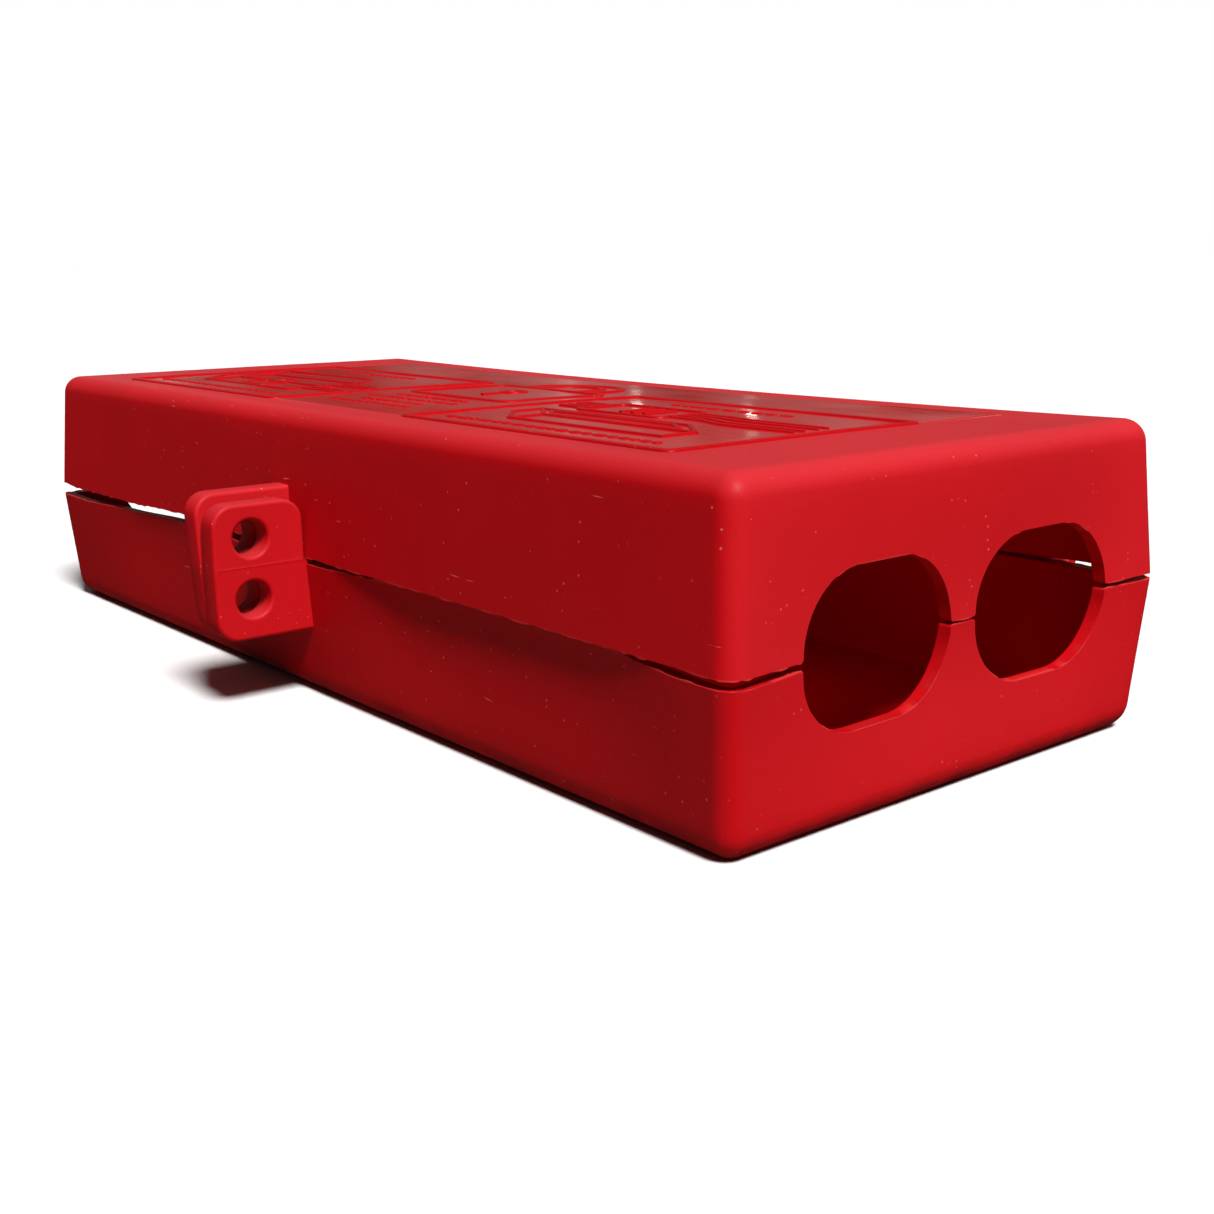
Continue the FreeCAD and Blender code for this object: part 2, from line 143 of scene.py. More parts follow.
def rim_columns():
    """The rim seen from above, anticlockwise: right end, back, left end, front, with a
    quarter circle at each corner. Gives each column's place, outward normal, how far it
    follows the wall's lean along X and Y, rim depth, and direction into the material."""
    straight_x, straight_y = HALF_LENGTH - CORNER_RADIUS, HALF_WIDTH - CORNER_RADIUS
    end = end_outline()
    along = np.linspace(-straight_x, straight_x, int(2 * straight_x / COLUMN_PITCH) + 1)
    columns = []

    def add(x, y, *values):
        size = len(np.atleast_1d(x + y))
        columns.append(np.stack([np.broadcast_to(v, size) for v in (x, y) + values], axis=1))

    for sign in (1, -1):
        wall = end if sign > 0 else end[::-1]
        ramp = np.sign(wall[:, 0]) * np.clip((np.abs(wall[:, 0]) - 36.0) / (straight_y - 36.0),
                                             0.0, 1.0)
        add(sign * HALF_LENGTH + 0 * wall[:, 0], wall[:, 0], sign, 0.0, sign, ramp,
            wall[:, 1], wall[:, 2], wall[:, 3])
        angle = np.linspace(0.0, math.pi / 2, 10)[1:-1] + (0.0 if sign > 0 else math.pi)
        add(sign * straight_x + CORNER_RADIUS * np.cos(angle),
            sign * straight_y + CORNER_RADIUS * np.sin(angle),
            np.cos(angle), np.sin(angle), sign, sign, RIM_GAP, 0.0, 1.0)
        side = -sign * along
        ramp = np.sign(side) * np.clip((np.abs(side) - 80.0) / (straight_x - 80.0), 0.0, 1.0)
        add(side, sign * HALF_WIDTH + 0 * side, 0.0, sign, ramp, sign, RIM_GAP, 0.0, 1.0)
        angle = angle + math.pi / 2
        add(-sign * straight_x + CORNER_RADIUS * np.cos(angle),
            sign * straight_y + CORNER_RADIUS * np.sin(angle),
            np.cos(angle), np.sin(angle), -sign, sign, RIM_GAP, 0.0, 1.0)
    return np.concatenate(columns)


def shrinking_rows(edge, count, half_x, half_y):
    """Rows of a flat: the edge's points drawn in, share by share, to the centre line."""
    middle = edge.copy()
    middle[:, 0] = np.clip(edge[:, 0], half_y - half_x, half_x - half_y)
    middle[:, 1] = 0.0
    share = np.concatenate([[0.008], np.linspace(0.0, 1.0, count + 1)[1:]])
    return [edge + (middle - edge) * f for f in share]


def shell_surface(side, edge_radius, seed):
    """Closed skin of one cup, rows by columns by xyz in mm. Each row is (inset from the
    leaning wall, depth from the parting plane): out from the middle of the flat face, round
    its edge, up the wall, over the ragged flash and the rim, down the inside, and in to the
    floor's middle. Also gives how far each point belongs to the flash and to the inside."""
    x, y, normal_x, normal_y, lean_x, lean_y, rim, into_y, into_h = rim_columns().T
    columns = len(x)
    phase = np.arange(columns) / columns * 2.0 * math.pi
    draw = np.random.default_rng(seed)
    waves = draw.integers(9, 240, FLASH_WAVES)
    shifts = draw.uniform(0.0, 2.0 * math.pi, FLASH_WAVES)
    ragged = np.sin(phase[:, None] * waves + shifts).sum(axis=1) / math.sqrt(FLASH_WAVES / 2.0)
    flash = FLASH_HEIGHT * np.clip(0.38 + 0.5 * ragged, 0.05, 1.0) * into_h ** 3

    def row(inset, depth, slide=0.0):
        near = min(inset, CORNER_RADIUS)
        lean = (depth - RIM_GAP) * DRAFT + inset - near
        return np.stack([x - lean * lean_x - near * normal_x,
                         y - lean * lean_y - near * normal_y + slide * into_y,
                         PARTING_Z + side * (depth + 0 * x)], axis=1)

    def edge_rows(radius, wall_inset, face_depth, count):
        """Quarter round from the leaning wall to a flat: centre + radius (cos, sin)."""
        tilt = math.atan(DRAFT)
        angles = np.linspace(tilt, math.pi / 2, count)
        centre_depth = face_depth - radius
        centre_out = (-radius - (centre_depth - RIM_GAP) * math.sin(tilt)) / math.cos(tilt)
        depths = centre_depth + radius * np.sin(angles)
        outs = centre_out + radius * np.cos(angles)
        return [(wall_inset - out - (depth - RIM_GAP) * DRAFT, depth)
                for out, depth in zip(outs, depths)]

    def wall_rows(start, inset, turn_depth, count, slide):
        """Down the wall from the rim to where the edge's round begins."""
        share = np.concatenate([[0.0, 0.006], np.linspace(0.03, 1.0, count)])[:-1]
        return [row(inset, start + (turn_depth - start) * f, slide * (1.0 - f) ** 8)
                for f in share]

    outer_edge = edge_rows(edge_radius, 0.0, HALF_HEIGHT, 10)
    inner_edge = edge_rows(INSIDE_RADIUS, WALL, HALF_HEIGHT - WALL, 6)
    face, floor = row(*outer_edge[-1]), row(*inner_edge[-1])
    rows = shrinking_rows(face, 12, *np.abs(face[:, :2]).max(axis=0))[::-1]
    rows += [row(*step) for step in outer_edge[::-1]]
    rows += wall_rows(rim, 0.0, outer_edge[0][1], 10, 0.0)[::-1]
    first_flash = len(rows) - 1
    rows += [row(0.02, rim - flash * 0.8), row(0.07, rim - flash),
             row(FLASH_WIDTH, rim - flash * 0.7), row(FLASH_WIDTH + 0.05, rim)]
    last_flash = len(rows) - 1
    rows.append(row(WALL - RIM_ROUND - 0.05, rim))
    for angle in np.linspace(math.pi / 2, 0.0, 5)[:-1]:
        back = RIM_ROUND * (1.0 - math.sin(angle))
        rows.append(row(WALL - RIM_ROUND * (1.0 - math.cos(angle)), rim + back * into_h, back))
    rows += wall_rows(rim + RIM_ROUND * into_h, WALL, inner_edge[0][1], 8, RIM_ROUND)
    rows += [row(*step) for step in inner_edge]
    rows += shrinking_rows(floor, 8, *np.abs(floor[:, :2]).max(axis=0))
    flash_share, inside = np.zeros((2, len(rows), columns))
    flash_share[first_flash:last_flash + 1] = np.clip(flash / FLASH_HEIGHT * 1.6, 0.0, 1.0)
    inside[last_flash:] = 1.0
    return warp(np.stack(rows), side), {"flash": flash_share, "inside": inside}


def quads_of(shape, wrap_rows, wrap_columns):
    """Corner numbers of a grid's quads; a wrapped side joins its last line to its first."""
    index = np.arange(shape[0] * shape[1]).reshape(shape[:2])
    if wrap_rows:
        index = np.concatenate([index, index[:1]], axis=0)
    if wrap_columns:
        index = np.concatenate([index, index[:, :1]], axis=1)
    quads = np.stack([index[:-1, :-1], index[:-1, 1:], index[1:, 1:], index[1:, :-1]], axis=-1)
    return quads.reshape(-1, 4)


def make_piece(name, surfaces, body, material, shares=None):
    """Object from (points in mm, quads) surfaces. Points that coincide are merged, which
    closes poles and seams, and faces are turned outwards and smoothed up to SHARP_ANGLE.
    Shares become point attributes that the material reads."""
    starts = np.cumsum([0] + [points.size // 3 for points, _ in surfaces])
    places = np.concatenate([points.reshape(-1, 3) for points, _ in surfaces]) * MM
    faces = np.concatenate([quads + start for (_, quads), start in zip(surfaces, starts)])
    mesh = bpy.data.meshes.new(name)
    mesh.from_pydata(places.tolist(), [], faces.tolist())
    for key, share in (shares or {}).items():
        attribute = mesh.attributes.new(key, "FLOAT", "POINT")
        attribute.data.foreach_set("value", share.astype(np.float32).ravel())
    shape = bmesh.new()
    shape.from_mesh(mesh)
    bmesh.ops.remove_doubles(shape, verts=shape.verts, dist=MERGE_WITHIN * MM)
    bmesh.ops.dissolve_degenerate(shape, edges=shape.edges, dist=COLLAPSE_WITHIN * MM)
    bmesh.ops.recalc_face_normals(shape, faces=shape.faces)
    shape.to_mesh(mesh)
    shape.free()
    mesh.shade_smooth()
    mesh.set_sharp_from_angle(angle=math.radians(SHARP_ANGLE))
    mesh.materials.append(material)
    piece = bpy.data.objects.new(name, mesh)
    bpy.context.collection.objects.link(piece)
    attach(piece, body)
    return piece


def linear(hex_colour):
    """sRGB hex to linear red, green, blue and 1."""
    srgb = [int(hex_colour[i:i + 2], 16) / 255.0 for i in (1, 3, 5)]
    return tuple(v / 12.92 if v <= 0.04045 else ((v + 0.055) / 1.055) ** 2.4
                 for v in srgb) + (1.0,)


def add_node(tree, kind, inputs=None, links=None, **settings):
    """Node with its settings, its input values and the links into it."""
    node = tree.nodes.new(kind)
    for key, value in settings.items():
        setattr(node, key, value)
    for key, value in (inputs or {}).items():
        node.inputs[key].default_value = value
    for key, source in (links or {}).items():
        tree.links.new(source, node.inputs[key])
    return node


def new_material(name, **values):
    """Node material with its principled shader's own values set: tree, shader, place."""
    material = bpy.data.materials.new(name)
    material.use_nodes = True
    tree = material.node_tree
    shader = next(node for node in tree.nodes if node.type == "BSDF_PRINCIPLED")
    for key, value in values.items():
        shader.inputs[key.replace("_", " ")].default_value = value
    return material, tree, shader, add_node(tree, "ShaderNodeTexCoord").outputs["Object"]


def cloudy_red(tree, place, red, pitch, detail, darkest):
    """Colour that drifts from a red to a darker share of it, over patches of one pitch."""
    cloud = add_node(tree, "ShaderNodeTexNoise", {"Scale": PER_METRE / pitch, "Detail": detail},
                     {"Vector": place})
    tint = add_node(tree, "ShaderNodeValToRGB", {}, {"Fac": cloud.outputs["Fac"]})
    light, dark = tint.color_ramp.elements
    light.position, dark.position = 0.35, 0.65
    light.color = linear(red)
    dark.color = tuple(darkest * v for v in linear(red)[:3]) + (1.0,)
    return tint.outputs["Color"]


# Polypropylene coloured right through with red. The cavity was spark-eroded, so the skin
# has an even grain that spreads highlights, drawn at 0.45 mm, coarser than the real one, so
# that it shows; use has left it with short pale scratches and specks of plastic dust. It is
# also drawn darker along the bottom edges, and paler on faces that look up, where a film
# stands for dust and a painted sheen of sky light.
def textured_polypropylene(name, red, grain_height, roughness, dust_and_sheen):
    material, tree, shader, place = new_material(name, IOR=1.49, Specular_IOR_Level=0.07)

    # Specks are round cells of 1.6 mm pitch, kept where a draw per cell allows and faded by
    # a slow noise; scratches are cells of 1.3 and 1.5 mm, drawn out 14 times and bent.
    patch = add_node(tree, "ShaderNodeTexNoise", {"Scale": PER_METRE / 30.0, "Detail": 2.0},
                     {"Vector": place})
    bend = add_node(tree, "ShaderNodeTexNoise", {"Scale": PER_METRE / 18.0, "Detail": 1.0},
                    {"Vector": place})
    bent = add_node(tree, "ShaderNodeVectorMath", {1: (0.004, 0.004, 0.004)},
                    {0: bend.outputs["Color"], 2: place}, operation="MULTIPLY_ADD")
    marks = []
    for turn, pitch, stretch, size, kept in (((0.0, 0.0, 0.0), 1.6, 1.0, 0.14, 0.72),
                                             ((0.4, 1.15, 0.3), 1.3, 14.0, 0.10, 0.88),
                                             ((0.9, 0.5, 1.2), 1.5, 14.0, 0.10, 0.92)):
        laid = add_node(tree, "ShaderNodeMapping", {"Rotation": turn,
                                                    "Scale": (1.0 / stretch, 1.0, 1.0)},
                        {"Vector": bent.outputs["Vector"]})
        cells = add_node(tree, "ShaderNodeTexVoronoi", {"Scale": PER_METRE / pitch},
                         {"Vector": laid.outputs["Vector"]})
        drawn = add_node(tree, "ShaderNodeSeparateColor", {}, {"Color": cells.outputs["Color"]})
        chosen = add_node(tree, "ShaderNodeMapRange", {"From Min": kept, "From Max": kept + 0.04},
                          {"Value": drawn.outputs["Red"]})
        near = add_node(tree, "ShaderNodeMapRange", {"From Min": size, "From Max": size * 0.5},
                        {"Value": cells.outputs["Distance"]})
        marks.append(add_node(tree, "ShaderNodeMath", {}, {0: chosen.outputs["Result"],
                                                           1: near.outputs["Result"]},
                              operation="MULTIPLY").outputs["Value"])
    pair = add_node(tree, "ShaderNodeMath", {}, {0: marks[0], 1: marks[1]}, operation="MAXIMUM")
    all_marks = add_node(tree, "ShaderNodeMath", {}, {0: pair.outputs["Value"], 1: marks[2]},
                         operation="MAXIMUM")
    where = add_node(tree, "ShaderNodeMapRange", {"From Min": 0.42, "From Max": 0.62,
                                                  "To Min": 0.06, "To Max": 0.6},
                     {"Value": patch.outputs["Fac"]})
    wear = add_node(tree, "ShaderNodeMath", {}, {0: all_marks.outputs["Value"],
                                                 1: where.outputs["Result"]},
                    operation="MULTIPLY")

    # The torn flash along the rims is thinner and paler: partly stress-whitened, partly a painted
    # highlight for the lit line along the rim's edge.
    torn = add_node(tree, "ShaderNodeAttribute", attribute_name="flash")
    pale_flash_and_highlight = add_node(tree, "ShaderNodeMath", {1: 0.55}, {0: torn.outputs["Fac"]},
                          operation="MULTIPLY")

    # A thin dust and a painted sheen of sky light lie outside on faces that look up, and
    # less on the right end, as a paler, bluer film: the painted sheen makes the faces that turn
    # towards the light lighter.
    facing = add_node(tree, "ShaderNodeVectorMath", {1: (0.36, 0.0, 1.0)}, {
        0: add_node(tree, "ShaderNodeTexCoord").outputs["Normal"]}, operation="DOT_PRODUCT")
    dust_and_sheen_share = add_node(tree, "ShaderNodeMapRange", {"From Min": 0.2, "To Max": dust_and_sheen},
                    {"Value": facing.outputs["Value"]})
    inner = add_node(tree, "ShaderNodeAttribute", attribute_name="inside")
    outer = add_node(tree, "ShaderNodeMath", {0: 1.0}, {1: inner.outputs["Fac"]},
                     operation="SUBTRACT")
    outer_dust_and_sheen = add_node(tree, "ShaderNodeMath", {}, {0: dust_and_sheen_share.outputs["Result"],
                                                       1: outer.outputs["Value"]},
                          operation="MULTIPLY")

    # Outside, within 5 mm of the bottom, the red turns darker, broken up by a noise of 6 mm
    # patches.
    height = add_node(tree, "ShaderNodeSeparateXYZ", {}, {"Vector": place})
    low = add_node(tree, "ShaderNodeMapRange", {"From Min": 5.0 * MM, "From Max": 1.0 * MM},
                   {"Value": height.outputs["Z"]}, interpolation_type="SMOOTHSTEP")
    low_patch_noise = add_node(tree, "ShaderNodeTexNoise", {"Scale": PER_METRE / 6.0, "Detail": 6.0,
                                                  "Roughness": 0.7}, {"Vector": place})
    low_patches = add_node(tree, "ShaderNodeMapRange", {"From Min": 0.42, "From Max": 0.66,
                                                    "To Max": 0.55},
                       {"Value": low_patch_noise.outputs["Fac"]})
    low_darkening = add_node(tree, "ShaderNodeMath", {}, {0: low.outputs["Result"],
                                                  1: low_patches.outputs["Result"]},
                     operation="MULTIPLY")
    outer_low_darkening = add_node(tree, "ShaderNodeMath", {}, {0: low_darkening.outputs["Value"],
                                                        1: outer.outputs["Value"]},
                           operation="MULTIPLY")

    # Wear, the paler flash with its painted highlight, the dust with its painted sheen, and the
    # darker band near the bottom lie over the red in that order, each by its share.
    colour = cloudy_red(tree, place, red, 50.0, 4.0, 0.90)
    for share, over in ((wear, "#dd8078"), (pale_flash_and_highlight, "#cf3a3a"), (outer_dust_and_sheen, "#b79cae"),
                        (outer_low_darkening, "#3d1512")):
        layer = add_node(tree, "ShaderNodeMix", {"B": linear(over)},
                         {"A": colour, "Factor": share.outputs["Value"]}, data_type="RGBA")
        colour = layer.outputs["Result"]
    tree.links.new(colour, shader.inputs["Base Color"])

    rough = add_node(tree, "ShaderNodeMapRange", {"To Min": roughness - 0.05,
                                                  "To Max": roughness + 0.05},
                     {"Value": patch.outputs["Fac"]})
    tree.links.new(rough.outputs["Result"], shader.inputs["Roughness"])
    grain = add_node(tree, "ShaderNodeTexNoise", {"Scale": PER_METRE / 0.45, "Detail": 2.0},
                     {"Vector": place})
    relief = add_node(tree, "ShaderNodeMath", {1: -0.8}, {0: all_marks.outputs["Value"],
                                                         2: grain.outputs["Fac"]},
                      operation="MULTIPLY_ADD")
    bump = add_node(tree, "ShaderNodeBump", {"Strength": 0.5, "Distance": grain_height * MM},
                    {"Height": relief.outputs["Value"]})
    tree.links.new(bump.outputs["Normal"], shader.inputs["Normal"])
    return material


RED = "#bb0b14"
# The last value is the share of the film of dust and painted sheen on faces that look up.
textured_red = textured_polypropylene("red polypropylene, spark-eroded skin", RED, 0.05, 0.42,
                                       0.055)
skin, skin_shares = shell_surface(LOWER, BASE_EDGE_RADIUS, 5)
lower_shell = make_piece("lower_shell_moulding", [(skin, quads_of(skin.shape, False, True))],
                         "base", textured_red, skin_shares)
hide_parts("lower_shell")

# ---------------------------------------------------------------------------------------
# Lid moulding's cup. The same wall, draft and openings as the base, with a tighter round
# along its top edge, and its rim lifted towards the left end.
# ---------------------------------------------------------------------------------------
LID_EDGE_RADIUS = 3.8
skin, skin_shares = shell_surface(UPPER, LID_EDGE_RADIUS, 8)
upper_shell = make_piece("upper_shell_moulding", [(skin, quads_of(skin.shape, False, True))],
                         "lid", textured_red, skin_shares)
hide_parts("upper_shell")

# ---------------------------------------------------------------------------------------
# Polished panel of the lid. Part of the lid moulding: a field 0.12 mm proud of the matte
# margin, made by an insert polished by hand, so it mirrors the room in slow ripples.
# ---------------------------------------------------------------------------------------
LID_TOP = 52.0
PANEL_LEFT, PANEL_RIGHT, PANEL_FRONT, PANEL_REAR, PANEL_CORNER = -91.0, 92.4, -38.8, 37.0, 1.6
PANEL_RISE, PANEL_RIPPLE, PANEL_DEPTH = 0.12, 0.02, 0.3


def rounded_rectangle(left, right, front, rear, radius, pitch):
    """Closed outline, anticlockwise: straight sides and corner arcs of one radius, with
    points no further apart than the pitch."""
    quarter = np.linspace(0.0, math.pi / 2, 7)
    corners = ((right, rear, 0), (left, rear, 1), (left, front, 2), (right, front, 3))
    arcs = [np.stack([x + radius * (np.cos(quarter + k * math.pi / 2) - (1, -1, -1, 1)[k]),
                      y + radius * (np.sin(quarter + k * math.pi / 2) - (1, 1, -1, -1)[k])],
                     axis=1) for x, y, k in corners]
    return spread(np.concatenate(arcs), True, pitch)


def spread(path, closed, pitch):
    """The same line with more points on its long runs: stations at every given point and
    at every pitch not close to one, read off along the line's length."""
    line = np.concatenate([path, path[:1]]) if closed else path
    length = np.concatenate([[0.0], np.cumsum(np.hypot(*np.diff(line, axis=0).T))])
    extra = np.arange(pitch, length[-1], pitch)
    extra = extra[np.abs(extra[:, None] - length).min(axis=1) > 0.2]
    stations = np.sort(np.concatenate([length, extra]))
    if closed:
        stations = stations[:-1]
    return np.stack([np.interp(stations, length, line[:, k]) for k in (0, 1)], axis=1)


def panel_surface():
    """Shallow closed slab. The top's rows shrink from the outline to the centre line and
    ripple by a sum of three slow sines, up to 0.06 mm; the underside lies in the lid."""
    half_x, half_y = (PANEL_RIGHT - PANEL_LEFT) / 2, (PANEL_REAR - PANEL_FRONT) / 2
    outline = rounded_rectangle(-half_x, half_x, -half_y, half_y, PANEL_CORNER, 1.5)
    flat = np.column_stack([outline, np.zeros(len(outline))])
    top = np.stack([flat] + shrinking_rows(flat, 26, half_x, half_y))
    inset = np.minimum(half_x - np.abs(top[..., 0]), half_y - np.abs(top[..., 1]))
    top += [(PANEL_LEFT + PANEL_RIGHT) / 2, (PANEL_FRONT + PANEL_REAR) / 2, 0.0]
    x, y = top[..., 0], top[..., 1]
    ripple = (np.sin(x / 6.1 + 1.7 * np.sin(y / 9.0)) + np.sin(y / 4.3 + 1.3 * np.sin(x / 11.0))
              + np.sin((x + 1.6 * y) / 9.7 + 0.6))
    top[..., 2] = LID_TOP + PANEL_RISE * smoothstep(inset / 0.5) + (
        PANEL_RIPPLE * ripple * smoothstep(inset / 4.0))
    under = top.copy()
    under[..., 2] = LID_TOP - PANEL_DEPTH
    return warp(np.concatenate([under[::-1], top]), UPPER)


# Polypropylene against a polished steel insert: the same red, glossy, with faint
# orange peel of about 5 mm and hairline rub marks that dull it here and there.
def polished_polypropylene(name, red):
    material, tree, shader, place = new_material(name, IOR=1.49)
    tree.links.new(cloudy_red(tree, place, red, 60.0, 3.0, 0.85), shader.inputs["Base Color"])
    laid = add_node(tree, "ShaderNodeMapping", {"Rotation": (0.0, 0.0, 0.5),
                                                "Scale": (0.12, 1.0, 1.0)}, {"Vector": place})
    rubs = add_node(tree, "ShaderNodeTexNoise", {"Scale": PER_METRE / 1.5, "Detail": 3.0},
                    {"Vector": laid.outputs["Vector"]})
    rough = add_node(tree, "ShaderNodeMapRange", {"From Min": 0.45, "From Max": 0.75,
                                                  "To Min": 0.06, "To Max": 0.2},
                     {"Value": rubs.outputs["Fac"]})
    tree.links.new(rough.outputs["Result"], shader.inputs["Roughness"])
    peel = add_node(tree, "ShaderNodeTexNoise", {"Scale": PER_METRE / 5.0, "Detail": 2.0},
                    {"Vector": place})
    bump = add_node(tree, "ShaderNodeBump", {"Strength": 0.6, "Distance": 0.02 * MM},
                    {"Height": peel.outputs["Fac"]})
    tree.links.new(bump.outputs["Normal"], shader.inputs["Normal"])
    return material


polished_red = polished_polypropylene("red polypropylene, polished skin", "#cb1520")
skin = panel_surface()
make_piece("lid_polished_panel", [(skin, quads_of(skin.shape, False, True))],
           "lid", polished_red)

# ---------------------------------------------------------------------------------------
# Raised line art of the lid. Ridges 0.38 mm high, cut into the mould by an engraving
# cutter, so they have sloping sides and flat matte tops: two frames with a generic plug
# and box in them, and a generic padlock between.
# ---------------------------------------------------------------------------------------
ART_TOP = LID_TOP + 0.38
FRAME_LINE, DRAWING_LINE, SMALL_LINE = 1.6, 1.0, 0.9
LINE_PITCH = 3.0
FRAME_LENGTH, FRAME_FRONT, FRAME_REAR, FRAME_CORNER = 67.6, -38.6, 14.1, 1.2


def ridge(path, closed, line):
    """Profile carried along a plan line: eight points round a low trapezium, set across
    the line on its mitred normal, (n1 + n2) / (1 + n1 . n2). Open ends are drawn together."""
    after = np.roll(path, -1, axis=0) - path
    before = path - np.roll(path, 1, axis=0)
    if not closed:
        after[-1], before[0] = before[-1], after[0]
    normals = [np.stack([-d[:, 1], d[:, 0]], axis=1) / np.hypot(*d.T)[:, None]
               for d in (before, after)]
    share = 1.0 + (normals[0] * normals[1]).sum(axis=1, keepdims=True)
    mitre = (normals[0] + normals[1]) / np.maximum(share, 0.35)
    across = line * np.array([-0.50, -0.50, -0.36, -0.27, 0.27, 0.36, 0.50, 0.50])
    rise = ART_TOP - LID_TOP
    height = LID_TOP + np.array([-0.1, 0.0, 0.86 * rise, rise, rise, 0.86 * rise, 0.0, -0.1])
    plan = path[:, None, :] + mitre[:, None, :] * across[None, :, None]
    points = np.concatenate([plan, np.broadcast_to(height[None, :, None],
                                                   plan.shape[:2] + (1,))], axis=2)
    if not closed:
        centre = points.mean(axis=1, keepdims=True) + 0.0 * points
        points = np.concatenate([centre[:1], points, centre[-1:]])
    points = warp(points, UPPER)
    return points, quads_of(points.shape, closed, True)


def arch(centre, radius, start, stop, legs=0.0):
    """Arc about a centre, from a start to a stop angle in degrees, with straight legs down."""
    angle = np.radians(np.linspace(start, stop, 17))
    curve = np.array(centre) + radius * np.stack([np.cos(angle), np.sin(angle)], axis=1)
    if legs:
        curve = np.concatenate([curve[:1] - [[0.0, legs]], curve, curve[-1:] - [[0.0, legs]]])
    return curve


def padlock_lines(x, y, width, height):
    """Generic padlock in plan: a rounded body, a two-line shackle and a keyhole."""
    body = rounded_rectangle(x - width / 2, x + width / 2, y, y + height, width * 0.08,
                             LINE_PITCH)
    foot = (x, y + height + width * 0.14)
    return [(body, True), (arch(foot, width * 0.31, 0, 180, width * 0.14), False),
            (arch(foot, width * 0.19, 0, 180, width * 0.14), False),
            (arch((x, y + height * 0.58), width * 0.075, -60, 240), True),
            (np.array([(x, y + height * 0.50), (x, y + height * 0.26)]), False)]


def lines_to_ridges(lines, line):
    """A ridge of one width along each (path, closed) line."""
    return [ridge(spread(np.array(path, dtype=float), closed, LINE_PITCH), closed, line)
            for path, closed in lines]


# The engraved lines carry no dust film and no painted sheen, and their red is painted deeper as
# shade, for the little light that falls on the narrow ridges.
shaded_engraved_red = textured_polypropylene("red polypropylene, engraved skin", "#aa0a13", 0.03,
                                      0.36, 0.0)

frame_lines = [(rounded_rectangle(left, left + FRAME_LENGTH, FRAME_FRONT, FRAME_REAR,
                                  FRAME_CORNER, LINE_PITCH), True) for left in (-90.8, 24.6)]
make_piece("lid_frame_ridges", lines_to_ridges(frame_lines, FRAME_LINE),
           "lid", shaded_engraved_red)
middle_padlock = padlock_lines(0.7, -11.9, 33.6, 24.0)
make_piece("lid_padlock_ridges", lines_to_ridges(middle_padlock[:3], FRAME_LINE)
           + lines_to_ridges(middle_padlock[3:], DRAWING_LINE),
           "lid", shaded_engraved_red)

# Plug above an open tray, on the right: body, blades, grip ribs and two cables.
plug_lines = [(rounded_rectangle(36.7, 58.7, -10.9, 0.6, 1.5, LINE_PITCH), True),
              ([(36.7, -2.4), (29.7, -2.4), (29.7, -4.4), (36.7, -4.4)], False),
              ([(36.7, -6.4), (29.7, -6.4), (29.7, -8.4), (36.7, -8.4)], False),
              ([(46.7, -8.9), (46.7, -1.4)], False), ([(49.7, -8.9), (49.7, -1.4)], False),
              ([(52.7, -8.9), (52.7, -1.4)], False),
              ([(58.7, -1.9), (66.7, -1.9), (72.7, -2.9), (88.7, -2.9)], False),
              ([(58.7, -4.1), (66.7, -4.1), (72.7, -5.1), (88.7, -5.1)], False),
              ([(58.7, -6.3), (66.7, -6.3), (72.7, -8.3), (88.7, -8.3)], False),
              ([(58.7, -8.5), (66.7, -8.5), (72.7, -10.5), (88.7, -10.5)], False)]
tray_lines = [([(32.7, -14.9), (70.7, -14.9), (78.7, -20.9), (40.7, -20.9)], True),
              ([(40.7, -20.9), (40.7, -27.9), (78.7, -27.9), (78.7, -20.9)], False),
              ([(32.7, -14.9), (32.7, -21.4), (40.7, -27.9)], False),
              ([(37.2, -16.4), (68.7, -16.4), (74.2, -19.9), (41.7, -19.9)], True)]
make_piece("lid_plug_ridges", lines_to_ridges(plug_lines + tray_lines, DRAWING_LINE),
           "lid", shaded_engraved_red)

# Closed box with its cables and a padlock, on the left.
box_lines = [([(-85.3, -1.9), (-47.3, -1.9), (-39.3, -9.9), (-77.3, -9.9)], True),
             ([(-77.3, -9.9), (-77.3, -26.9), (-39.3, -26.9), (-39.3, -9.9)], False),
             ([(-85.3, -1.9), (-85.3, -18.9), (-77.3, -26.9)], False),
             ([(-77.3, -18.4), (-39.3, -18.4)], False), ([(-85.3, -10.4), (-77.3, -18.4)], False),
             ([(-39.3, -13.4), (-26.3, -13.4)], False), ([(-39.3, -15.9), (-26.3, -15.9)], False),
             ([(-39.3, -20.9), (-26.3, -20.9)], False), ([(-39.3, -23.4), (-26.3, -23.4)], False)]
make_piece("lid_box_ridges", lines_to_ridges(box_lines, DRAWING_LINE)
           + lines_to_ridges(padlock_lines(-58.3, -25.4, 9.0, 6.5)[:2], SMALL_LINE),
           "lid", shaded_engraved_red)

# Rows of plain bars stand where instructions would be; they say nothing.
BAR_DEPTH, BAR_RISE, BAR_ROOT, BAR_GAP = 1.5, 0.32, 0.1, 0.8
SHORTEST_BAR, LONGEST_BAR, BARS_DRAWN = 0.9, 3.4, 60


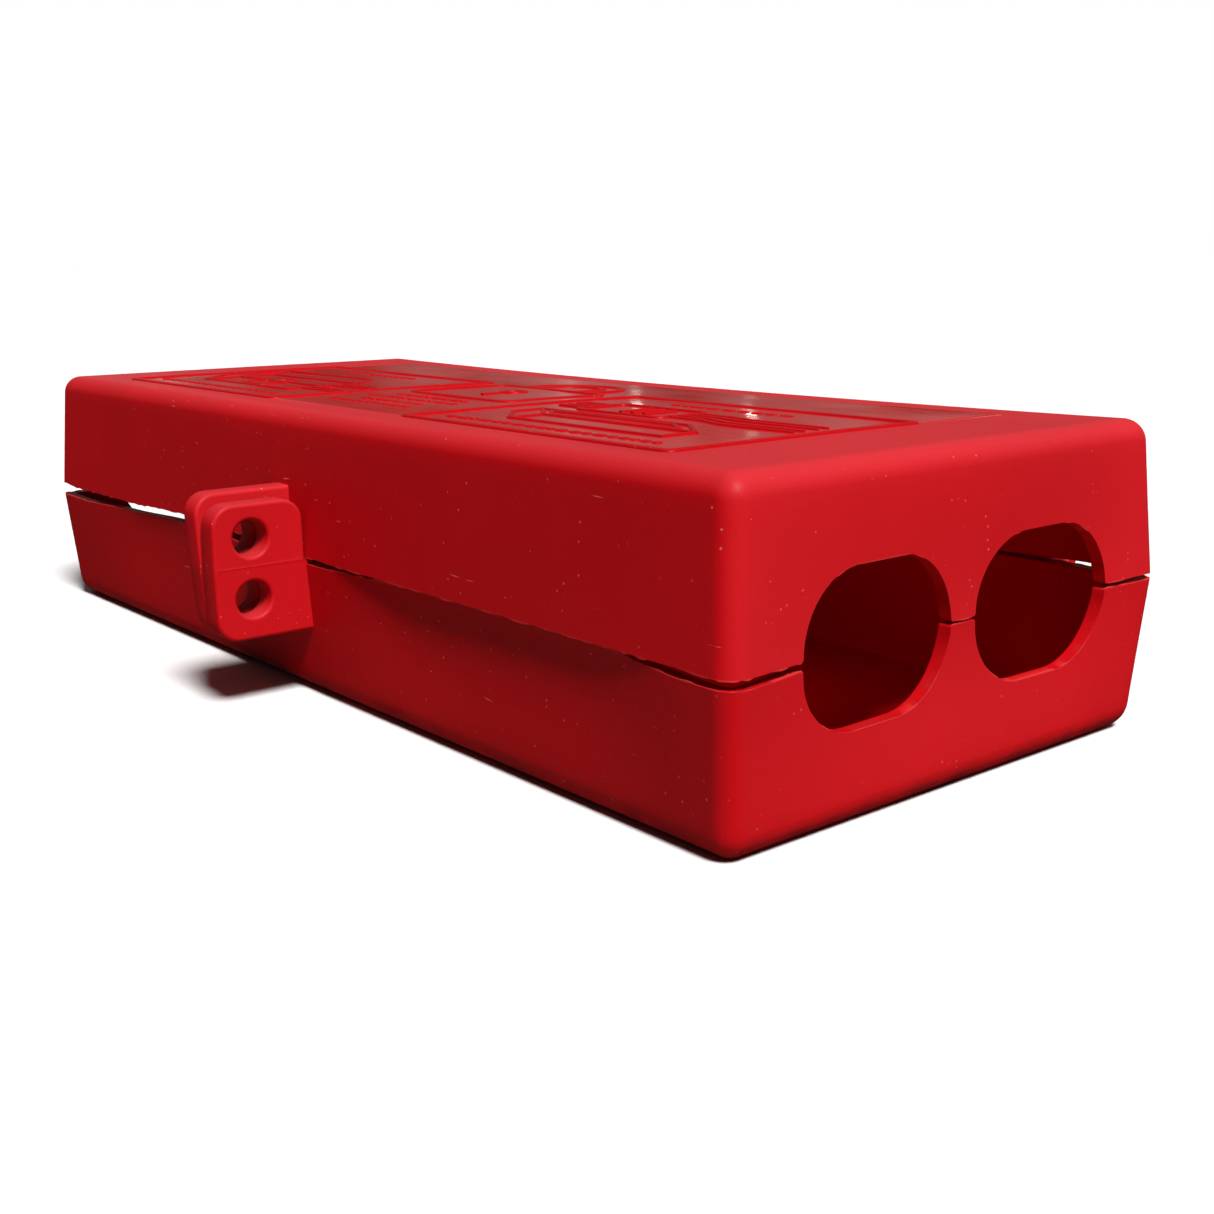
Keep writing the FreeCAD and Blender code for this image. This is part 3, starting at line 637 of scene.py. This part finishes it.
def bar_row(left, right, y, seed):
    """Bars of drawn lengths with even gaps between them. Each is one small grid, a
    half-length and half-depth times six stations each way, domed by the product of two
    edge falls, so all bars are one array. The outermost points lie in the lid."""
    lengths = np.random.default_rng(seed).uniform(SHORTEST_BAR, LONGEST_BAR, BARS_DRAWN)
    ends = np.cumsum(lengths + BAR_GAP)
    lengths, ends = lengths[ends < right - left], ends[ends < right - left]
    centre = left + ends - BAR_GAP - lengths / 2.0
    station = np.array([-1.0, -0.98, -0.62, 0.62, 0.98, 1.0])
    fall = np.array([0.0, 0.12, 1.0, 1.0, 0.12, 0.0])
    dome = fall[:, None] * fall
    x = centre[:, None, None] + station[None, :, None] * lengths[:, None, None] / 2.0
    z = LID_TOP + BAR_RISE * dome - BAR_ROOT * (dome == 0.0)
    points = np.stack(np.broadcast_arrays(x, y + station[None, None, :] * BAR_DEPTH / 2.0,
                                          z[None]), axis=-1)
    quads = quads_of(dome.shape, False, False)
    quads = quads[None] + dome.size * np.arange(len(centre))[:, None, None]
    return warp(points, UPPER), quads.reshape(-1, 4)


rows_of_bars = [bar_row(*row, seed) for seed, row in enumerate((
    (42.7, 73.7, 6.6), (30.7, 86.7, -33.4), (-72.3, -41.3, 6.6), (-85.3, -29.3, -33.4),
    (-12.3, 14.7, -16.9), (-15.3, 17.7, -21.4), (-10.3, 13.7, -25.9), (-14.3, 16.7, -30.4)))]
make_piece("lid_bar_rows", rows_of_bars, "lid", shaded_engraved_red)

# ---------------------------------------------------------------------------------------
# Padlock plates. Each is moulded with its own shell and stands free past the other one,
# 5 mm thick at the parting plane. The lid's plate has sprung back from the base's, so that
# a wedge of daylight opens between their tops.
# ---------------------------------------------------------------------------------------
PLATE_THICKNESS, PLATE_TIP, PLATE_CORNER, PLATE_SOFTENING = 5.0, 66.5, 4.0, 0.6
HOLE_RADIUS, HOLE_REACH = 3.3, 59.25
PLATE_ROOT_DEPTH = 1.2               # how far the rooted half runs into its shell's wall
PLATE_FREE_GAP = 0.15                # daylight between the free half and the other shell
MOULD_LINE = 0.03                    # height of the witness line where the mould parted
FRONT_PLATE_X, REAR_PLATE_X = 4.05, -1.25


def plate_half(centre_x, half, top, hole_rise, tip_lean, face_lean, tilt, rooted):
    """One half of a plate as a ring: from the padlock hole out over the right face, round
    the edge, and back over the left face to the hole. Columns go round the outline, and a
    row lies a share of the way from the hole's circle to the outline along a ray. Tip,
    faces and middle shift by their own slopes times the distance from the parting plane."""
    soften = PLATE_SOFTENING
    tip_end = PLATE_TIP - top * tip_lean
    root = HALF_WIDTH - PLATE_ROOT_DEPTH if rooted else HALF_WIDTH + PLATE_FREE_GAP
    quarter = np.linspace(0.0, math.pi / 2, 12)
    corner = np.stack([tip_end - PLATE_CORNER * (1.0 - np.cos(quarter)),
                       top - PLATE_CORNER * (1.0 - np.sin(quarter))], axis=1)
    inner = np.stack([root + PLATE_CORNER * (1.0 - np.sin(quarter)),
                      top - PLATE_CORNER * (1.0 - np.cos(quarter))], axis=1)
    if rooted:
        inner = np.array([[root - top * DRAFT, top]])
    rise = np.linspace(0.0, 1.0, 9)[:-1, None]
    outer_side = np.array([[PLATE_TIP, 0.0]]) * (1 - rise) + corner[:1] * rise
    over = corner[-1:] * (1 - rise[1:]) + inner[:1] * rise[1:]
    inner_side = inner[-1:] * rise[::-1] + np.array([[root, 0.0]]) * (1 - rise[::-1])
    shared = np.linspace(HALF_WIDTH + PLATE_FREE_GAP, PLATE_TIP, 14)[:-1]
    shared = shared[shared > root + 0.01]
    along = np.stack([shared, np.zeros(len(shared))], axis=1)
    outline = np.concatenate([outer_side, corner, over, inner, inner_side[:-1],
                              [[root, 0.0]], along])

    step = np.roll(outline, -1, axis=0) - np.roll(outline, 1, axis=0)
    outward = np.stack([step[:, 1], -step[:, 0]], axis=1)
    outward /= np.maximum(np.hypot(*outward.T), 1e-9)[:, None]
    outward[outline[:, 1] < 1e-9] = 0.0
    outward[0] = (1.0, 0.0)
    outward[len(outline) - len(along) - 1] = (0.0 if rooted else -1.0, 0.0)

    hole = np.array([HOLE_REACH, hole_rise])
    ray = outline - hole
    ray /= np.hypot(*ray.T)[:, None]
    bends = np.linspace(0.0, math.pi / 2, 5)

    def row(plan, face, drop):
        line = MOULD_LINE * (plan[:, 1] < 0.01)
        x = centre_x - plan[:, 1] * tilt + face * (
            PLATE_THICKNESS / 2 - plan[:, 1] * face_lean - drop + line)
        return np.stack([x, -plan[:, 0], PARTING_Z + half * plan[:, 1]], axis=1)

    def one_face(face):
        rows = [row(hole + ray * (HOLE_RADIUS + soften * (1 - math.sin(a))), face,
                    soften * (1 - math.cos(a))) for a in bends[::-1]]
        start, stop = hole + ray * (HOLE_RADIUS + soften), outline - soften * outward
        rows += [row(start + (stop - start) * share, face, 0.0)
                 for share in (0.04, 0.2, 0.5, 0.8, 0.96, 1.0)]
        return rows + [row(outline - soften * (1 - math.sin(a)) * outward, face,
                           soften * (1 - math.cos(a))) for a in bends[1:]]

    points = np.stack(one_face(1) + one_face(-1)[::-1])
    quads = quads_of(points.shape, True, True)
    flat = points.reshape(-1, 3)
    inside = (np.abs(flat[:, 2] - PARTING_Z) < 1e-9) & (
        flat[:, 1] < -HALF_WIDTH - PLATE_FREE_GAP + 0.01)
    return points, quads[~inside[quads].all(axis=1)]


# Each half: middle, side, reach from the parting plane, distance of the hole from it,
# lean of the tip and of the faces, tilt, and whether it is rooted in its shell.
for name, body, node, halves in (
        ("front_padlock_plate", "base", "lower_hasp_plate",
         ((FRONT_PLATE_X, LOWER, 13.1, 5.85, 0.017, 0.010, 0.0, True),
          (FRONT_PLATE_X, UPPER, 11.1, 4.95, 0.017, 0.010, 0.0, False))),
        ("rear_padlock_plate", "lid", "upper_hasp_plate",
         ((REAR_PLATE_X, UPPER, 12.5, 4.95, 0.0, 0.010, 0.105, True),
          (REAR_PLATE_X, LOWER, 12.8, 5.85, 0.052, 0.040, 0.0, False)))):
    plate = make_piece(name, [plate_half(*half) for half in halves], body,
                       textured_red)
    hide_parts(node)

# ---------------------------------------------------------------------------------------
# Hinge knuckles. Barrels of 8 mm on gussets, moulded with the rear walls, two of the base
# to one of the lid in each group; ends softened where the mould's inserts met.
# ---------------------------------------------------------------------------------------
HINGE_Y, BARREL_RADIUS, BORE_RADIUS = 53.2, 4.0, 1.5
KNUCKLE_LENGTH, KNUCKLE_SOFTENING, BORE_CHAMFER, BORE_CLEARANCE = 13.2, 0.3, 0.15, 0.02
GUSSET_DROP, GUSSET_ROOT = 11.0, 0.8     # below the parting plane, and into the wall


def knuckle_surface(start, side):
    """Ring grid: out from the bore over one end face, round the end's edge, along the
    barrel and its gusset, and back over the other end to the bore. The outline is the
    barrel's circle, its tangent down to the gusset's foot, and the wall's own slope."""
    sweep = np.radians(np.linspace(-90.0, 183.0, 40))
    barrel = BARREL_RADIUS * np.stack([np.cos(sweep), np.sin(sweep)], axis=1)
    foot = np.array([HALF_WIDTH - GUSSET_DROP * DRAFT - HINGE_Y - GUSSET_ROOT, -GUSSET_DROP])
    shelf = np.array([HALF_WIDTH - HINGE_Y - GUSSET_ROOT, -RIM_GAP])
    share = np.linspace(0.0, 1.0, 8)[:, None]
    wall = shelf * (1 - share) + foot * share
    gusset = foot * (1 - share) + barrel[0] * share
    outline = np.concatenate([barrel, wall, gusset[1:-1]])
    step = np.roll(outline, -1, axis=0) - np.roll(outline, 1, axis=0)
    outward = np.stack([step[:, 1], -step[:, 0]], axis=1) / np.hypot(*step.T)[:, None]
    ray = outline / np.hypot(*outline.T)[:, None]
    bends = np.linspace(0.0, math.pi / 2, 4)
    soften = KNUCKLE_SOFTENING

    def row(plan, x):
        return np.stack([x + 0 * plan[:, 0], HINGE_Y + plan[:, 0],
                         PARTING_Z - side * plan[:, 1]], axis=1)

    def one_end(x, inward):
        start, stop = ray * (BORE_RADIUS + BORE_CHAMFER), outline - soften * outward
        rows = [row(ray * (BORE_RADIUS + BORE_CLEARANCE), x + BORE_CHAMFER * inward),
                row(start, x)]
        rows += [row(start + (stop - start) * f, x) for f in (0.1, 0.5, 0.9, 1.0)]
        return rows + [row(outline - soften * (1 - math.sin(a)) * outward,
                           x + inward * soften * (1 - math.cos(a))) for a in bends[1:]]

    points = np.stack(one_end(start, 1) + one_end(start + KNUCKLE_LENGTH, -1)[::-1])
    return points, quads_of(points.shape, True, True)


for name, start, side, body in (
        ("lower_knuckle_left_1", -94.7, LOWER, "base"),
        ("upper_knuckle_left", -81.1, UPPER, "lid"),
        ("lower_knuckle_left_2", -67.5, LOWER, "base"),
        ("lower_knuckle_right_1", 54.3, LOWER, "base"),
        ("upper_knuckle_right", 67.9, UPPER, "lid"),
        ("lower_knuckle_right_2", 81.5, LOWER, "base")):
    knuckle = make_piece(name + "_moulding", [knuckle_surface(start, side)],
                         body, textured_red)
    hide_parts(name)

# ---------------------------------------------------------------------------------------
# Hinge pins. Straight 3 mm lengths of drawn steel wire, cropped and chamfered, pressed
# through the knuckles from the outer end.
# ---------------------------------------------------------------------------------------
PIN_RADIUS, PIN_CHAMFER, PIN_DOME, PIN_RECESS, GROUP_LENGTH = 1.5, 0.35, 0.08, 0.5, 40.4


def pin_surface(start):
    """Lathe shape about the hinge line: end centre, cropped face with a slight dome,
    chamfer, straight wire, and the same again. Columns go round the axis."""
    radius = np.array([0.0, 0.6, 0.97, 1.0])
    radius = np.concatenate([radius * (PIN_RADIUS - PIN_CHAMFER), [PIN_RADIUS, PIN_RADIUS]])
    x = np.array([0.0, 0.01, 0.05, PIN_DOME, PIN_DOME + PIN_CHAMFER, 6.0])
    length = GROUP_LENGTH - 2 * PIN_RECESS
    x = np.concatenate([x, length - x[::-1]]) + start + PIN_RECESS
    radius = np.concatenate([radius, radius[::-1]])
    angle = np.linspace(0.0, 2 * math.pi, 49)[:-1]
    points = np.stack(np.broadcast_arrays(
        x[:, None], HINGE_Y + radius[:, None] * np.cos(angle),
        PARTING_Z + radius[:, None] * np.sin(angle)), axis=-1)
    return points, quads_of(points.shape, False, True)


# Drawn steel wire: pale grey metal with fine draw lines along its length, slightly dull
# where the zinc flash has been handled.
drawn_steel, steel_tree, steel_shader, steel_place = new_material(
    "drawn steel wire", Metallic=1.0)
laid = add_node(steel_tree, "ShaderNodeMapping", {"Scale": (0.02, 1.0, 1.0)},
                {"Vector": steel_place})
draw_lines = add_node(steel_tree, "ShaderNodeTexNoise", {"Scale": PER_METRE / 0.15, "Detail": 3.0},
                      {"Vector": laid.outputs["Vector"]})
steel_tint = add_node(steel_tree, "ShaderNodeValToRGB", {}, {"Fac": draw_lines.outputs["Fac"]})
steel_tint.color_ramp.elements[0].color = linear("#8f9194")
steel_tint.color_ramp.elements[1].color = linear("#c9cbcd")
steel_rough = add_node(steel_tree, "ShaderNodeMapRange", {"To Min": 0.22, "To Max": 0.42},
                       {"Value": draw_lines.outputs["Fac"]})
steel_bump = add_node(steel_tree, "ShaderNodeBump", {"Strength": 0.4, "Distance": 0.01 * MM},
                      {"Height": draw_lines.outputs["Fac"]})
steel_tree.links.new(steel_tint.outputs["Color"], steel_shader.inputs["Base Color"])
steel_tree.links.new(steel_rough.outputs["Result"], steel_shader.inputs["Roughness"])
steel_tree.links.new(steel_bump.outputs["Normal"], steel_shader.inputs["Normal"])

for name, start in (("hinge_pin_left", -94.7), ("hinge_pin_right", 54.3)):
    pin = make_piece(name + "_wire", [pin_surface(start)], "base", drawn_steel)
    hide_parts(name)

# ---------------------------------------------------------------------------------------
# Floor, light and camera: a plain pale floor, a broad high key from the right end, and a
# dim warm room for the gloss to mirror.
# ---------------------------------------------------------------------------------------
FLOOR_REACH = 40.0                   # metres each way

# Matte uncoated paper: even and pale, with a faint cloud where its fibres lie.
pale, pale_tree, pale_shader, pale_place = new_material(
    "pale matte paper", Roughness=0.95, Specular_IOR_Level=0.07)
fibre = add_node(pale_tree, "ShaderNodeTexNoise", {"Scale": PER_METRE / 3.0, "Detail": 3.0},
                 {"Vector": pale_place})
paper = add_node(pale_tree, "ShaderNodeValToRGB", {}, {"Fac": fibre.outputs["Fac"]})
paper.color_ramp.elements[0].color = linear("#e3e6ea")
paper.color_ramp.elements[1].color = linear("#e6e9ed")
pale_tree.links.new(paper.outputs["Color"], pale_shader.inputs["Base Color"])

# The moulding itself sees the floor dimly, as if the paper ended close by, so that little
# of it shows in the gloss or is thrown back onto the walls.
dim_paper = add_node(pale_tree, "ShaderNodeBsdfDiffuse", {"Color": linear("#989290")})
dim_gloss = add_node(pale_tree, "ShaderNodeEmission", {"Color": linear("#5a5452"),
                                                       "Strength": 0.2})
by_ray = add_node(pale_tree, "ShaderNodeLightPath")
seen_paper = add_node(pale_tree, "ShaderNodeMixShader", {},
                      {0: by_ray.outputs["Is Camera Ray"], 1: dim_paper.outputs["BSDF"],
                       2: pale_shader.outputs["BSDF"]})
paper_mix = add_node(pale_tree, "ShaderNodeMixShader", {},
                     {0: by_ray.outputs["Is Glossy Ray"], 1: seen_paper.outputs["Shader"],
                      2: dim_gloss.outputs["Emission"]})
paper_out = next(node for node in pale_tree.nodes if node.type == "OUTPUT_MATERIAL")
pale_tree.links.new(paper_mix.outputs["Shader"], paper_out.inputs["Surface"])
floor_mesh = bpy.data.meshes.new("floor")
corners = [(a * FLOOR_REACH, b * FLOOR_REACH, 0.0) for a, b in ((-1, -1), (1, -1), (1, 1),
                                                                (-1, 1))]
floor_mesh.from_pydata(corners, [], [(0, 1, 2, 3)])
floor_mesh.materials.append(pale)
floor = bpy.data.objects.new("floor", floor_mesh)
bpy.context.collection.objects.link(floor)


def add_lamp(name, kind, place, target, colour, **settings):
    """Lamp at a place, turned to face a target."""
    data = bpy.data.lights.new(name, kind)
    data.color = linear(colour)[:3]
    for key, value in settings.items():
        setattr(data, key, value)
    lamp = bpy.data.objects.new(name, data)
    bpy.context.collection.objects.link(lamp)
    lamp.location = place
    lamp.rotation_euler = (Vector(target) - Vector(place)).to_track_quat("-Z", "Y").to_euler()
    return lamp


add_lamp("key", "SUN", (1.1, -0.33, 1.6), (0, 0, 0), "#fffaf5", energy=5.5,
         angle=math.radians(16.0))

# Far small windows glint in the ripples of the polished panel; two weak red lamps stand
# for the light that 2.5 mm of polypropylene lets through into the closed box.
for number, place in enumerate(((-1.03, 1.10, 0.185), (-1.14, 1.015, 0.175))):
    window = add_lamp("window_" + str(number), "AREA", place, (0, 0, 0.052), "#fff6ea",
                      energy=0.0025, size=0.012)
    window.visible_camera = window.visible_diffuse = False
for number, (x, power) in enumerate(((-0.06, 0.002), (0.06, 0.008))):
    glow = add_lamp("glow_" + str(number), "POINT", (x, 0.0, 0.026), (0, 0, 0), "#ff5a4a",
                    energy=power, shadow_soft_size=0.015)
    glow.visible_camera = glow.visible_glossy = False

# The camera sees a white backdrop. Everything else sees a dim room with mottled brown walls
# and a few bright patches, brightest towards the rear left.
world = bpy.data.worlds.new("studio")
bpy.context.scene.world = world
world.use_nodes = True
room = world.node_tree
seen = add_node(room, "ShaderNodeLightPath")
backdrop = add_node(room, "ShaderNodeBackground", {"Color": linear("#ffffff"), "Strength": 1.0})
dim = next(node for node in room.nodes if node.type == "BACKGROUND" and node != backdrop)
dim.inputs["Strength"].default_value = 1.0
direction = add_node(room, "ShaderNodeTexCoord").outputs["Generated"]
behind = add_node(room, "ShaderNodeVectorMath", {1: (-0.66, 0.75, 0.0)}, {0: direction},
                  operation="DOT_PRODUCT")
patches = add_node(room, "ShaderNodeTexNoise", {"Scale": 7.0, "Detail": 3.0},
                   {"Vector": direction})
lit = add_node(room, "ShaderNodeMapRange", {"From Min": 0.1, "From Max": 0.7, "To Min": 0.06,
                                            "To Max": 1.0}, {"Value": behind.outputs["Value"]})
walls = add_node(room, "ShaderNodeValToRGB", {}, {"Fac": patches.outputs["Fac"]})
walls.color_ramp.elements[0].position, walls.color_ramp.elements[1].position = 0.42, 0.6
walls.color_ramp.elements[0].color = linear("#45382f")
walls.color_ramp.elements[1].color = linear("#8a7e7a")
walls.color_ramp.elements.new(0.66).color = linear("#f4efe9")
shaded = add_node(room, "ShaderNodeVectorMath", {}, {0: walls.outputs["Color"],
                                                     "Scale": lit.outputs["Result"]},
                  operation="SCALE")
room.links.new(shaded.outputs["Vector"], dim.inputs["Color"])
which = add_node(room, "ShaderNodeMixShader", {}, {0: seen.outputs["Is Camera Ray"],
                                                   1: dim.outputs["Background"],
                                                   2: backdrop.outputs["Background"]})
room_out = next(node for node in room.nodes if node.type == "OUTPUT_WORLD")
room.links.new(which.outputs["Shader"], room_out.inputs["Surface"])

EYE = Vector((243.0, -173.6, 77.6)) * MM
AZIMUTH, DOWNWARD, ROLL = math.radians(50.59), math.radians(13.12), math.radians(-0.57)
LENS, SENSOR = 44.21, 36.0
ahead = Vector((-math.sin(AZIMUTH) * math.cos(DOWNWARD),
                math.cos(AZIMUTH) * math.cos(DOWNWARD), -math.sin(DOWNWARD)))
level = Vector((math.cos(AZIMUTH), math.sin(AZIMUTH), 0.0))
upward = level.cross(ahead)
right = level * math.cos(ROLL) + upward * math.sin(ROLL)
above = upward * math.cos(ROLL) - level * math.sin(ROLL)
camera_data = bpy.data.cameras.new("camera")
camera_data.lens, camera_data.sensor_width = LENS, SENSOR
camera_data.clip_start = 0.01
camera = bpy.data.objects.new("camera", camera_data)
bpy.context.collection.objects.link(camera)
camera.matrix_world = Matrix((right.to_4d(), above.to_4d(), (-ahead).to_4d(),
                              EYE.to_4d())).transposed()
bpy.context.scene.camera = camera
bpy.context.scene.view_settings.view_transform = "Standard"
